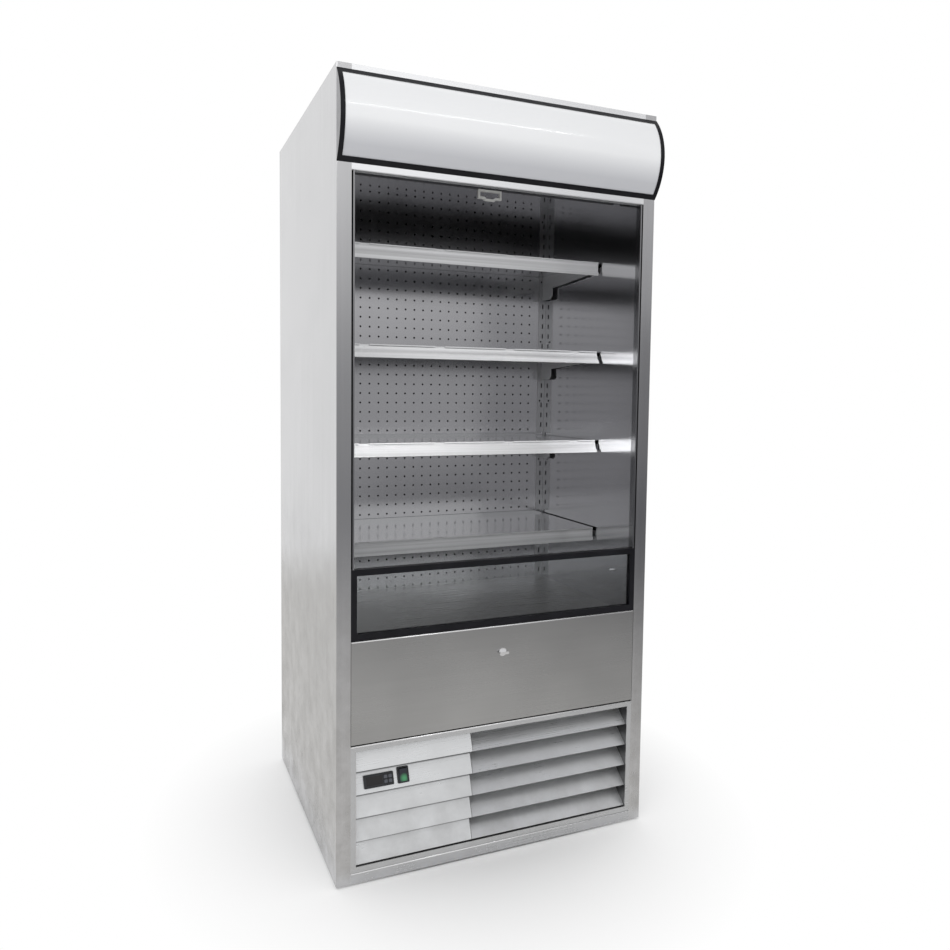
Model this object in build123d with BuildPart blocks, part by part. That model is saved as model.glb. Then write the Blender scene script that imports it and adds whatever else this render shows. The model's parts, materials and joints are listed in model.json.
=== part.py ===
"""Open multideck display fridge: a tall insulated cabinet with an open front, four shelves,
a lit header canopy with a night blind behind it, a low glass front and a machine bay below.

Millimetres, +Z up, front faces -Y.  The origin is on the floor, in the middle of the footprint.
"""
from build123d import *
from math import cos, radians, sin, sqrt, tan
import os

os.makedirs("parts", exist_ok=True)

# Overall size
body_width = 900
body_depth = 750
body_height = 2000
canopy_bulge = 40
floor_gap = 5

# Sheets and clearances
skin = 1.0
liner = 1.0
seam = 0.5
fit = 0.3
shaft_fit = 0.05

# Walls of the cabinet
post_width = 36.5
post_return = 18
bend_radius = 2
side_wall = 44
rear_wall = 50
top_wall = 60
display_depth = 528
top_duct_height = 82
floor_wall = 40
bay_top = 360
riser_front = 29
riser_depth = 32
riser_top = 608

# Edge profiles between posts and liners
edge_depth = 20
edge_proud = 0.5
edge_land = 4
edge_groove_depth = 10

# Header and canopy
header_bottom = 1757
header_depth = 80
header_box_bottom = 1796
lip_height = 16
canopy_height = 214
canopy_trim_width = 11.5
canopy_trim_sheet = 1.5
canopy_acrylic = 3
canopy_cap = 2
lamp_radius = 13
lamp_setback = 17
lamp_half_length = 420
lamp_holder_width = 12
lamp_holder_size = 30

# Night blind
blind_setback = 118
fabric_sheet = 0.6
fabric_half_width = 385
roll_radius = 20
roller_pin_radius = 4
roller_drop = 29
cassette_wall = 1.5
cassette_height = 60
cassette_front = 10
cassette_depth = 62
cassette_half_length = 397
cassette_slot = 14
blind_bar_height = 17
blind_bar_depth = 8
blind_bar_half_length = 393
blind_bar_gap = 1.5
handle_width = 69
handle_height = 24.5
handle_dip = 4.5
handle_dip_width = 32
handle_wall = 5.5
handle_depth = 7
catch_radius = 4
catch_length = 9
catch_setback = 106
catch_height = 717

# Perforated back panel and slotted uprights
upright_width = 26.6
upright_sheet = 1.5
upright_return = 25
slot_pitch = 100 / 3
slot_width = 4.2
slot_height = 15
slot_count = 37
slot_side_offset = 15.6
lowest_slot = 796 - 5 * slot_pitch
fixing_hole_radius = 3.2
fixing_hole_pitch = 200
fixing_hole_count = 6
lowest_fixing_hole = 811
fixing_side_offset = 10
perforation_pitch = 29.4
perforation_radius = 3
perforation_columns = 25
perforation_rows = 43
lowest_perforation = 614
perforation_shift = -8

# Shelves, brackets and ticket rails; shelf 1 is the top one
shelf_count = 4
lowest_shelf_slot = 5
slots_per_shelf = 8
shelf_above_slot = 32
shelf_half_width = 399
shelf_front = 200
shelf_rear = 525
shelf_sheet = 1.0
shelf_front_fold = 30
shelf_return = 12
shelf_side_fold = 12
shelf_upstand = 8
bracket_sheet = 3
bracket_front = 214
bracket_front_depth = 29
bracket_heel_front = 465
bracket_heel_depth = 44
bracket_tab_depth = 79
bracket_corner = 10
hook_height = 8
hook_nose = 4
hook_drop = 5
rail_height = 39
rail_sheet = 1.2
rail_lip = 3
rail_lip_sheet = 0.9
rail_upper_hook = 3.5
rail_lower_hook = 10
rail_flange = 12
rail_notch = 28
rail_rivet_radius = 2
rail_rivet_height = 1
rail_rivet_pitch = 216.5
rail_rivet_count = 4
rail_rivet_drop = 6
upright_rail_tilt = 0
raised_rail_tilt = 22

# Deck over the evaporator well
deck_front = 40
deck_rear = 553
deck_sheet = 1.0
deck_slot_length = 30
deck_slot_width = 6
deck_slot_pitch = 14
deck_slot_count = 54
deck_slot_setback = 86
deck_rear_fold = 20

# Glass front
glass_bottom = 623
glass_top = 800
glass_frame_width = 15.5
glass_frame_depth = 18
glass_sheet = 6
glass_rebate = 6
glass_setback = 6

# Access panel and its lock
panel_bottom = 360
panel_top = 621
panel_depth = 20
panel_sheet = 1.0
panel_hem = 15
panel_gap = 1.0
hinge_pin_radius = 1.5
hinge_pin_length = 1.7
hinge_setback = 3
hinge_rise = 3
lock_height = 550
lock_body_radius = 9
lock_flange_radius = 11
lock_flange = 2
lock_wing_width = 26
lock_wing_height = 7
lock_wing_depth = 11
cam_length = 34
cam_width = 14
cam_sheet = 2
cam_setback = 22

# Ventilation grille, louvres and plinth
plinth_top = 32
plinth_depth = 24
grille_bottom = 33
grille_top = 357
grille_border = 14
grille_depth = 22
grille_sheet = 1.2
cheek_depth = 51
louvre_count = 5
louvre_pitch = 60
louvre_split = -79
louvre_sheet = 1.2
louvre_setback = 7
lowest_louvre = 48.5
open_width = 57
open_tilt = 48
steep_width = 60
steep_tilt = 23

# Controller and rocker switch, both set square to the second steep louvre from the top
control_louvre = 3
controller_x = -336.5
controller_rise = 26.5
controller_width = 78
controller_height = 32
controller_bezel = 5
controller_body_width = 70.6
controller_body_height = 28.4
controller_body_depth = 58
cutout_gap = 0.4
display_width = 42
display_height = 21
display_offset = -12
display_depth_in = 2
key_width = 9
key_height = 8
key_pitch_x = 12
key_pitch_y = 11
key_offset = 24
key_depth = 3
key_proud = 1.2
key_well = 2.2
key_gap = 0.3
switch_x = -271
switch_rise = 29
switch_width = 31
switch_height = 39.5
switch_bezel = 3
switch_body_width = 25
switch_body_height = 34
switch_body_depth = 22
rocker_width = 20
rocker_height = 31
rocker_gap = 0.6
rocker_depth = 9
rocker_proud = 3.5
rocker_well = 10
rocker_foot = 11
rocker_lean = 8
rocker_pin_radius = 1.5
rocker_pin_half = 11.5

# Machine bay
base_sheet = 2
base_top = 35
base_front = 26
foot_x = 400
foot_front = 60
foot_rear = 700
foot_pad_radius = 20
foot_pad_height = 6
foot_stud_radius = 5
foot_stud_top = 60
foot_nut_height = 8
foot_nut_size = 17
compressor_x = 230
compressor_setback = 540
compressor_radius = 78
compressor_height = 175
compressor_dome = 40
compressor_plate_width = 200
compressor_plate_depth = 160
compressor_plate_sheet = 3
mount_radius = 12
mount_height = 14
mount_pitch_x = 160
mount_pitch_y = 120
condenser_left = -215
condenser_right = 375
condenser_setback = 62
condenser_depth = 60
condenser_bottom = 40
condenser_top = 330
end_plate = 2
hairpin_radius = 11
hairpin_wire = 4
condenser_hairpins = 5
fin_pitch = 14
fin_sheet = 1.5
shroud_sheet = 1.2
shroud_depth = 40
condenser_fan_radius = 122
condenser_fan_height = 190
fan_tip_gap = 5
fan_hub_radius = 28
fan_hub_depth = 24
fan_blade_count = 5
fan_blade_width = 46
fan_blade_sheet = 1.6
fan_blade_pitch = 28
shaft_radius = 3
motor_radius = 32
motor_depth = 46
motor_gap = 2
motor_arm_width = 12
motor_arm_sheet = 2
tray_left = -230
tray_right = 60
tray_front = 440
tray_rear = 680
tray_height = 38
tray_sheet = 1.5
vent_slot_length = 120
vent_slot_height = 8
vent_pitch_x = 160
vent_pitch_z = 24
vent_columns = 4
vent_rows = 8
vent_centre = 190

# Evaporator well
evaporator_plate_setback = 152
evaporator_fan_radius = 84
evaporator_fan_x = 190
evaporator_fan_height = 504
evaporator_blade_width = 34
coil_half_width = 370
coil_front = 270
coil_rear = 500
coil_bottom = 412
coil_top = 592
coil_hairpins = 4
drain_x = -85
drain_setback = 560
drain_radius = 10
drain_bore_radius = 8
drain_bottom = 300

# Refrigerant lines
line_radius = 4
line_pass_radius = 8
line_bend = 20
suction_x = 395
suction_end_setback = 430
suction_end_z = 450
liquid_x = 360
liquid_pass_setback = 580
liquid_end_z = 480
discharge_z = 120
discharge_end_setback = 76
line_gutter = 424
condensed_z = 300
condensed_setback = 111
discharge_turn_setback = 400
drier_radius = 12
drier_front = 240
drier_rear = 340
shell_drop = 70

# Places worked out from the sizes above
half_width = body_width / 2
front = -(body_depth - canopy_bulge) / 2
back = front + body_depth
post_inner = half_width - post_width
wall_inner = half_width - side_wall
opening_half = post_inner
tank_rear = front + body_depth - rear_wall
tank_top = body_height - top_wall
tank_floor = bay_top + floor_wall
riser_back = front + riser_front + riser_depth
header_rear = front + header_depth
ceiling = tank_top - top_duct_height
display_back = front + display_depth
canopy_bottom = header_bottom + lip_height
canopy_mid = canopy_bottom + canopy_height / 2
canopy_radius = ((canopy_height / 2) ** 2 + canopy_bulge ** 2) / (2 * canopy_bulge)
canopy_centre_y = front - canopy_bulge + canopy_radius
upright_outer = wall_inner - fit
upright_inner = upright_outer - upright_width
panel_half_width = upright_inner - seam
slot_x = upright_inner + slot_side_offset
deck_top = riser_top + deck_sheet
fabric_y = front + blind_setback
roller_y = fabric_y + fabric_sheet / 2 + fit + roll_radius
roller_z = ceiling - roller_drop
cassette_bottom = ceiling - cassette_height
bar_top = cassette_bottom - blind_bar_gap
bar_bottom = bar_top - blind_bar_height
hinge_z = panel_bottom + hinge_rise
louvre_inner_half = opening_half - grille_border
line_places = ((suction_x, front + compressor_setback), (liquid_x, front + liquid_pass_setback))
hub_seat = fan_hub_depth / 2

CORNER = (Align.MIN, Align.MIN, Align.MIN)
HANDS = ((-1, "left"), (1, "right"))


def block(x0, x1, y0, y1, z0, z1, mode=Mode.ADD):
    """A rectangular block between two opposite corners, in the piece being built."""
    with Locations((min(x0, x1), y0, z0)):
        Box(abs(x1 - x0), y1 - y0, z1 - z0, align=CORNER, mode=mode)


def rod(x, y, radius, z0, z1, mode=Mode.ADD):
    """An upright cylinder, in the piece being built."""
    with Locations((x, y, z0)):
        Cylinder(radius, z1 - z0, align=(Align.CENTER, Align.CENTER, Align.MIN), mode=mode)


def cross_rod(x0, x1, y, z, radius, mode=Mode.ADD):
    """A cylinder along X, in the piece being built."""
    with Locations(((x0 + x1) / 2, y, z)):
        Cylinder(radius, abs(x1 - x0), rotation=(0, 90, 0), mode=mode)


def depth_rod(x, z, radius, y0, y1, mode=Mode.ADD):
    """A cylinder along Y, in the piece being built."""
    with Locations((x, (y0 + y1) / 2, z)):
        Cylinder(radius, y1 - y0, rotation=(90, 0, 0), mode=mode)


def save(piece, name):
    """Label a finished piece and write it to its own file."""
    piece.part.label = name
    export_step(piece.part, f"parts/{name}.step")


# ---------------------------------------------------------------- outer casing

for side, hand in HANDS:
    with BuildPart() as side_panel:
        block(side * (half_width - skin), side * half_width, front, back, floor_gap, body_height)
        block(side * post_inner, side * half_width, front, front + skin, floor_gap, body_height)
        block(side * post_inner, side * (post_inner + skin), front, front + post_return,
              floor_gap, body_height - skin)
        for inset, radius in ((0, bend_radius), (skin, bend_radius - skin)):
            corner = Vector(side * (half_width - inset), front + inset, body_height / 2)
            fillet(side_panel.edges().filter_by(Axis.Z).sort_by_distance(corner)[0], radius=radius)
        cross_rod(side * post_inner, side * (post_inner + skin), front + hinge_setback, hinge_z,
                  hinge_pin_radius + shaft_fit, mode=Mode.SUBTRACT)
    save(side_panel, f"{hand}_side_panel")

with BuildPart() as back_panel:
    block(skin - half_width, half_width - skin, back - skin, back, floor_gap, body_height - skin)
    with BuildSketch(Plane.XZ.offset(-back)):
        with Locations((0, vent_centre)):
            with GridLocations(vent_pitch_x, vent_pitch_z, vent_columns, vent_rows):
                SlotOverall(vent_slot_length, vent_slot_height)
    extrude(amount=skin, mode=Mode.SUBTRACT)
save(back_panel, "back_panel")

with BuildPart() as top_panel:
    block(skin - half_width, half_width - skin, front + skin, back, body_height - skin, body_height)
    fillet(top_panel.edges().filter_by(Axis.Z).group_by(Axis.Y)[0], radius=bend_radius - skin)
save(top_panel, "top_panel")

# ---------------------------------------------------------------- insulation and tank

with BuildPart() as foam_insulation:
    block(skin - half_width, half_width - skin, front + skin, back - skin,
          bay_top + liner, body_height - skin)
    fillet(foam_insulation.edges().filter_by(Axis.Z).group_by(Axis.Y)[0], radius=bend_radius - skin)
    block(-wall_inner - liner, wall_inner + liner, front, tank_rear + liner,
          tank_floor, tank_top + liner, mode=Mode.SUBTRACT)
    block(-post_inner - skin, post_inner + skin, front, front + edge_depth,
          bay_top, body_height, mode=Mode.SUBTRACT)
    block(-post_inner - skin, post_inner + skin, front, front + riser_front + liner,
          bay_top, riser_top, mode=Mode.SUBTRACT)
    block(-wall_inner - liner, wall_inner + liner, front, header_rear,
          header_bottom, body_height, mode=Mode.SUBTRACT)
    block(-wall_inner, wall_inner, front + riser_front + liner, riser_back - liner,
          bay_top + liner, riser_top - liner)
    block(-wall_inner - liner, wall_inner + liner, riser_back - liner, tank_rear + liner,
          tank_floor - liner, tank_floor, mode=Mode.SUBTRACT)
    rod(drain_x, front + drain_setback, drain_radius, bay_top, tank_floor, mode=Mode.SUBTRACT)
    for line_place in line_places:
        rod(*line_place, line_pass_radius, bay_top, tank_floor, mode=Mode.SUBTRACT)
save(foam_insulation, "foam_insulation")

with BuildPart() as tank_shell:
    block(-wall_inner - liner, wall_inner + liner, riser_back - liner, tank_rear + liner,
          tank_floor - liner, tank_floor)
    block(-wall_inner, wall_inner, riser_back - liner, riser_back, tank_floor - liner, riser_top)
    block(-wall_inner, wall_inner, front + riser_front, riser_back, riser_top - liner, riser_top)
    block(-wall_inner, wall_inner, front + riser_front, front + riser_front + liner,
          bay_top, riser_top)
    block(-wall_inner, wall_inner, front + riser_front, back - skin, bay_top, bay_top + liner)
    rod(drain_x, front + drain_setback, drain_radius, drain_bottom, tank_floor)
    rod(drain_x, front + drain_setback, drain_bore_radius, drain_bottom, tank_floor,
        mode=Mode.SUBTRACT)
    for line_place in line_places:
        rod(*line_place, line_pass_radius, bay_top, tank_floor, mode=Mode.SUBTRACT)
save(tank_shell, "tank_shell")

for side, hand in HANDS:
    with BuildPart() as side_liner:
        block(side * wall_inner, side * (wall_inner + liner), front + edge_depth, tank_rear,
              tank_floor, tank_top)
        cross_rod(side * (wall_inner - catch_length), side * wall_inner, front + catch_setback,
                  catch_height, catch_radius)
    save(side_liner, f"{hand}_liner")

with BuildPart() as rear_liner:
    block(-wall_inner - liner, wall_inner + liner, tank_rear, tank_rear + liner,
          tank_floor, tank_top + liner)
    block(-wall_inner - liner, wall_inner + liner, header_rear, tank_rear + liner,
          tank_top, tank_top + liner)
save(rear_liner, "rear_liner")

outlet_slot_length = 24
outlet_slot_width = 8
outlet_pitch_x = 29
outlet_pitch_y = 16
outlet_columns = 26
outlet_rows = 4
outlet_setback = 240

with BuildPart() as ceiling_panel:
    block(fit - wall_inner, wall_inner - fit, header_rear, display_back + upright_return,
          ceiling, ceiling + liner)
    with BuildSketch(Plane.XY.offset(ceiling)):
        with Locations((0, front + outlet_setback)):
            with GridLocations(outlet_pitch_x, outlet_pitch_y, outlet_columns, outlet_rows):
                SlotOverall(outlet_slot_length, outlet_slot_width)
    extrude(amount=liner, mode=Mode.SUBTRACT)
save(ceiling_panel, "ceiling_panel")

for side, hand in HANDS:
    with BuildPart() as edge_profile:
        block(side * (wall_inner - edge_proud), side * post_inner, front, front + edge_depth,
              glass_top, header_bottom)
        block(side * (wall_inner - edge_proud + edge_land), side * post_inner, front,
              front + edge_groove_depth, glass_top, header_bottom, mode=Mode.SUBTRACT)
    save(edge_profile, f"{hand}_edge_profile")

# ---------------------------------------------------------------- back panel and uprights

with BuildPart() as perforated_back_panel:
    block(-panel_half_width, panel_half_width, display_back, display_back + liner,
          deck_top, ceiling)
    with BuildSketch(Plane.XZ.offset(-display_back - liner)):
        pattern_mid = lowest_perforation + (perforation_rows - 1) * perforation_pitch / 2
        with Locations((perforation_shift, pattern_mid)):
            with GridLocations(perforation_pitch, perforation_pitch,
                               perforation_columns, perforation_rows):
                Circle(perforation_radius)
    extrude(amount=liner, mode=Mode.SUBTRACT)
save(perforated_back_panel, "perforated_back_panel")

for side, hand in HANDS:
    with BuildPart() as upright:
        block(side * upright_inner, side * upright_outer, display_back,
              display_back + upright_sheet, deck_top, ceiling)
        for edge in (upright_inner, upright_outer - upright_sheet):
            block(side * edge, side * (edge + upright_sheet), display_back,
                  display_back + upright_return, deck_top, ceiling)
        with BuildSketch(Plane.XZ.offset(-display_back - upright_sheet)):
            slots_mid = lowest_slot + (slot_count - 1) * slot_pitch / 2
            with Locations((side * slot_x, slots_mid)):
                with GridLocations(slot_width, slot_pitch, 1, slot_count):
                    Rectangle(slot_width, slot_height)
            holes_mid = lowest_fixing_hole + (fixing_hole_count - 1) * fixing_hole_pitch / 2
            with Locations((side * (upright_inner + fixing_side_offset), holes_mid)):
                with GridLocations(slot_width, fixing_hole_pitch, 1, fixing_hole_count):
                    Circle(fixing_hole_radius)
        extrude(amount=upright_sheet, mode=Mode.SUBTRACT)
    save(upright, f"{hand}_upright")

# ---------------------------------------------------------------- shelves


def shelf_top(number):
    """Height of a shelf's upper face; shelf 1 hangs highest."""
    slot = lowest_shelf_slot + (shelf_count - number) * slots_per_shelf
    return lowest_slot + slot * slot_pitch + shelf_above_slot


for number in range(1, shelf_count + 1):
    top = shelf_top(number)
    shelf_lip = front + shelf_front
    with BuildPart() as shelf:
        block(-shelf_half_width, shelf_half_width, shelf_lip, front + shelf_rear,
              top - shelf_sheet, top)
        block(-shelf_half_width, shelf_half_width, shelf_lip, shelf_lip + shelf_sheet,
              top - shelf_front_fold, top)
        block(-shelf_half_width, shelf_half_width, shelf_lip, shelf_lip + shelf_return,
              top - shelf_front_fold, top - shelf_front_fold + shelf_sheet)
        block(-shelf_half_width, shelf_half_width, front + shelf_rear - shelf_sheet,
              front + shelf_rear, top - shelf_sheet, top + shelf_upstand)
        for side in (-1, 1):
            block(side * (shelf_half_width - shelf_sheet), side * shelf_half_width,
                  shelf_lip, front + shelf_rear, top - shelf_side_fold, top)
    save(shelf, f"shelf_{number}")

with BuildPart() as shelf_brackets:
    for number in range(1, shelf_count + 1):
        rest = shelf_top(number) - shelf_sheet
        heel = shelf_top(number) - bracket_heel_depth
        tab = shelf_top(number) - bracket_tab_depth
        for side in (-1, 1):
            with BuildSketch(Plane.YZ.offset(side * slot_x - bracket_sheet / 2)):
                with BuildLine():
                    Polyline(
                        (front + bracket_front, rest),
                        (display_back, rest),
                        (display_back, tab),
                        (front + bracket_heel_front + bracket_corner, tab),
                        (front + bracket_heel_front, tab + bracket_corner),
                        (front + bracket_heel_front, heel),
                        (front + bracket_front, shelf_top(number) - bracket_front_depth),
                        close=True,
                    )
                make_face()
            extrude(amount=bracket_sheet)
            for slots_down in (0, 1):
                slot_mid = shelf_top(number) - shelf_above_slot - slots_down * slot_pitch
                hook_bottom = slot_mid - slot_height / 2 + fit
                nose_front = display_back + upright_sheet + fit
                block(side * slot_x - bracket_sheet / 2, side * slot_x + bracket_sheet / 2,
                      display_back, nose_front + hook_nose, hook_bottom, hook_bottom + hook_height)
                block(side * slot_x - bracket_sheet / 2, side * slot_x + bracket_sheet / 2,
                      nose_front, nose_front + hook_nose, hook_bottom - hook_drop, hook_bottom)
save(shelf_brackets, "shelf_brackets")

with BuildPart() as ticket_rails:
    for number in range(1, shelf_count + 1):
        outer_shelf = number in (1, shelf_count)
        tilt = radians(upright_rail_tilt if outer_shelf else raised_rail_tilt)
        rail_plane = Plane(origin=(-shelf_half_width, front + shelf_front, shelf_top(number)),
                           x_dir=(0, cos(tilt), -sin(tilt)), z_dir=(1, 0, 0))
        with BuildSketch(rail_plane):
            with Locations((-rail_sheet, -rail_height)):
                Rectangle(rail_sheet, rail_height, align=(Align.MIN, Align.MIN))
            for lip_y in (-rail_height, -rail_lip_sheet):
                with Locations((-rail_sheet - rail_lip, lip_y)):
                    Rectangle(rail_lip, rail_lip_sheet, align=(Align.MIN, Align.MIN))
            for hook_y, hook in ((-rail_height, rail_lower_hook), (-rail_upper_hook, rail_upper_hook)):
                with Locations((-rail_sheet - rail_lip, hook_y)):
                    Rectangle(rail_lip_sheet, hook, align=(Align.MIN, Align.MIN))
        extrude(amount=2 * shelf_half_width)
        block(-shelf_half_width, shelf_half_width, front + shelf_front - rail_sheet,
              front + shelf_front, shelf_top(number) - rail_flange, shelf_top(number))
        face_plane = Plane(origin=rail_plane.origin + rail_plane.x_dir * -rail_sheet
                           + Vector(shelf_half_width, 0, 0),
                           x_dir=(1, 0, 0), z_dir=rail_plane.x_dir * -1)
        with BuildSketch(face_plane):
            with Locations((0, -rail_lip)):
                with GridLocations(rail_rivet_pitch, rail_height, rail_rivet_count, 1):
                    Rectangle(rail_notch, 2 * rail_lip)
        extrude(amount=rail_lip, mode=Mode.SUBTRACT)
        with BuildSketch(face_plane):
            with Locations((0, -rail_rivet_drop)):
                with GridLocations(rail_rivet_pitch, rail_height, rail_rivet_count, 1):
                    Circle(rail_rivet_radius)
        extrude(amount=rail_rivet_height)
save(ticket_rails, "ticket_rails")

# ---------------------------------------------------------------- header and canopy

with BuildPart() as header_box:
    block(-opening_half, opening_half, front, front + skin, header_bottom, body_height)
    block(-opening_half, opening_half, front, front + edge_depth, header_bottom, header_bottom + skin)
    for inset, radius in ((0, bend_radius), (skin, bend_radius - skin)):
        corner = Vector(0, front + inset, header_bottom + inset)
        fillet(header_box.edges().filter_by(Axis.X).sort_by_distance(corner)[0], radius=radius)
    block(-opening_half, opening_half, front + edge_depth - skin, front + edge_depth,
          header_bottom, header_box_bottom)
    block(fit - wall_inner, wall_inner - fit, front + edge_depth - skin, header_rear,
          header_box_bottom - skin, header_box_bottom)
    block(fit - wall_inner, wall_inner - fit, header_rear - skin, header_rear,
          header_box_bottom - skin, body_height - skin)
save(header_box, "header_box")


def canopy_band(outer, inner, half_length):
    """The part of a round shell in front of the cabinet face, in the piece being built."""
    with BuildSketch(Plane.YZ) as band:
        with Locations((canopy_centre_y, canopy_mid)):
            Circle(outer)
            if inner:
                Circle(inner, mode=Mode.SUBTRACT)
        with Locations((front, canopy_mid)):
            Rectangle(4 * canopy_radius, 4 * canopy_radius,
                      align=(Align.MIN, Align.CENTER), mode=Mode.SUBTRACT)
    extrude(band.sketch, amount=half_length, both=True)


trim_inside = canopy_radius - canopy_trim_sheet
face_inside = trim_inside - canopy_acrylic

with BuildPart() as canopy_trim:
    canopy_band(canopy_radius, trim_inside, half_width)
    block(canopy_trim_width - half_width, half_width - canopy_trim_width,
          front - canopy_bulge, front, canopy_bottom + canopy_trim_width,
          canopy_bottom + canopy_height - canopy_trim_width, mode=Mode.SUBTRACT)
save(canopy_trim, "canopy_trim")

with BuildPart() as canopy_face:
    canopy_band(trim_inside, face_inside, half_width - canopy_cap)
save(canopy_face, "canopy_face")

with BuildPart() as canopy_end_caps:
    canopy_band(trim_inside, 0, half_width)
    block(canopy_cap - half_width, half_width - canopy_cap, front - canopy_bulge, front,
          canopy_bottom, canopy_bottom + canopy_height, mode=Mode.SUBTRACT)
save(canopy_end_caps, "canopy_end_caps")

lamp_y = front - lamp_setback

with BuildPart() as lamp_tube:
    cross_rod(-lamp_half_length, lamp_half_length, lamp_y, canopy_mid, lamp_radius)
    for side in (-1, 1):
        block(side * lamp_half_length, side * (lamp_half_length + lamp_holder_width),
              lamp_y - lamp_radius, front, canopy_mid - lamp_holder_size / 2,
              canopy_mid + lamp_holder_size / 2)
save(lamp_tube, "lamp_tube")

# ---------------------------------------------------------------- night blind

cassette_y0 = fabric_y - cassette_front
cassette_y1 = cassette_y0 + cassette_depth

with BuildPart() as blind_cassette:
    block(-cassette_half_length, cassette_half_length, cassette_y0, cassette_y1,
          cassette_bottom, ceiling)
    block(cassette_wall - cassette_half_length, cassette_half_length - cassette_wall,
          cassette_y0 + cassette_wall, cassette_y1 - cassette_wall,
          cassette_bottom + cassette_wall, ceiling - cassette_wall, mode=Mode.SUBTRACT)
    block(cassette_wall - cassette_half_length, cassette_half_length - cassette_wall,
          fabric_y - cassette_slot / 2, fabric_y + cassette_slot / 2,
          cassette_bottom, cassette_bottom + cassette_wall, mode=Mode.SUBTRACT)
    cross_rod(-cassette_half_length, cassette_half_length, roller_y, roller_z,
              roller_pin_radius + shaft_fit, mode=Mode.SUBTRACT)
save(blind_cassette, "blind_cassette")

roller_half_length = cassette_half_length - cassette_wall - seam

with BuildPart() as blind_roller:
    cross_rod(-roller_half_length, roller_half_length, roller_y, roller_z, roll_radius)
    cross_rod(-cassette_half_length, cassette_half_length, roller_y, roller_z, roller_pin_radius)
save(blind_roller, "blind_roller")

with BuildPart() as blind_fabric:
    block(-fabric_half_width, fabric_half_width, fabric_y - fabric_sheet / 2,
          fabric_y + fabric_sheet / 2, bar_top, roller_z)
save(blind_fabric, "blind_fabric")

with BuildPart() as blind_bar:
    block(-blind_bar_half_length, blind_bar_half_length, fabric_y - blind_bar_depth / 2,
          fabric_y + blind_bar_depth / 2, bar_bottom, bar_top)
    fillet(blind_bar.edges().filter_by(Axis.X).sort_by(Axis.Z)[:2], radius=blind_bar_depth / 4)
save(blind_bar, "blind_bar")

with BuildPart() as blind_handle:
    with BuildSketch(Plane.XZ.offset(-fabric_y - handle_depth / 2)) as loop:
        with Locations((0, bar_bottom - handle_height / 2)):
            Rectangle(handle_width, handle_height)
        with Locations((0, bar_bottom - handle_height)):
            Rectangle(handle_dip_width, 2 * handle_dip)
        lower_corners = loop.vertices().sort_by(Axis.Z)[:6]
        fillet(lower_corners, radius=handle_dip / 2)
        offset(amount=-handle_wall, mode=Mode.SUBTRACT)
    extrude(amount=handle_depth)
save(blind_handle, "blind_handle")

# ---------------------------------------------------------------- deck and glass front

with BuildPart() as deck_pan:
    block(fit - wall_inner, wall_inner - fit, front + deck_front, front + deck_rear,
          riser_top, deck_top)
    block(fit - wall_inner, wall_inner - fit, front + deck_rear - deck_sheet, front + deck_rear,
          riser_top - deck_rear_fold, deck_top)
    with BuildSketch(Plane.XY.offset(riser_top)):
        with Locations((0, front + deck_slot_setback)):
            with GridLocations(deck_slot_pitch, deck_slot_length, deck_slot_count, 1):
                SlotOverall(deck_slot_length, deck_slot_width, rotation=90)
    extrude(amount=deck_sheet, mode=Mode.SUBTRACT)
save(deck_pan, "deck_pan")

pane_edge = opening_half - glass_frame_width + glass_rebate
pane_bottom = glass_bottom + glass_frame_width - glass_rebate
pane_top = glass_top - glass_frame_width + glass_rebate

with BuildPart() as glass_frame:
    block(-opening_half, opening_half, front, front + glass_frame_depth, glass_bottom, glass_top)
    block(glass_frame_width - opening_half, opening_half - glass_frame_width, front,
          front + glass_frame_depth, glass_bottom + glass_frame_width,
          glass_top - glass_frame_width, mode=Mode.SUBTRACT)
    block(-pane_edge, pane_edge, front + glass_setback, front + glass_setback + glass_sheet,
          pane_bottom, pane_top, mode=Mode.SUBTRACT)
save(glass_frame, "glass_frame")

with BuildPart() as glass_pane:
    block(-pane_edge, pane_edge, front + glass_setback, front + glass_setback + glass_sheet,
          pane_bottom, pane_top)
save(glass_pane, "glass_pane")

# ---------------------------------------------------------------- access panel and lock

panel_half = post_inner - panel_gap

with BuildPart() as access_panel:
    block(-panel_half, panel_half, front, front + panel_depth, panel_bottom, panel_top)
    fillet(access_panel.edges().filter_by(Axis.X).group_by(Axis.Y)[0], radius=bend_radius)
    block(panel_sheet - panel_half, panel_half - panel_sheet, front + panel_sheet,
          front + panel_depth - panel_sheet, panel_bottom + panel_sheet, panel_top - panel_sheet,
          mode=Mode.SUBTRACT)
    block(panel_hem - panel_half, panel_half - panel_hem, front + panel_sheet,
          front + panel_depth, panel_bottom + panel_hem, panel_top - panel_hem,
          mode=Mode.SUBTRACT)
    depth_rod(0, lock_height, lock_body_radius + shaft_fit, front, front + panel_sheet,
              mode=Mode.SUBTRACT)
    for side in (-1, 1):
        cross_rod(side * (panel_half - panel_sheet), side * (panel_half + hinge_pin_length),
                  front + hinge_setback, hinge_z, hinge_pin_radius)
save(access_panel, "access_panel")

with BuildPart() as panel_lock:
    depth_rod(0, lock_height, lock_body_radius, front - lock_flange, front + cam_setback)
    depth_rod(0, lock_height, lock_flange_radius, front - fit - lock_flange, front - fit)
    wing_front = front - fit - lock_flange - lock_wing_depth
    block(-lock_wing_width / 2, lock_wing_width / 2, wing_front, front - fit - lock_flange,
          lock_height - lock_wing_height / 2, lock_height + lock_wing_height / 2)
    fillet(panel_lock.edges().filter_by(Axis.Y).group_by(Axis.Y)[0], radius=lock_wing_height / 3)
    block(-cam_width / 2, cam_length, front + cam_setback, front + cam_setback + cam_sheet,
          lock_height - cam_width / 2, lock_height + cam_width / 2)
save(panel_lock, "panel_lock")

# ---------------------------------------------------------------- grille, louvres and plinth

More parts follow.
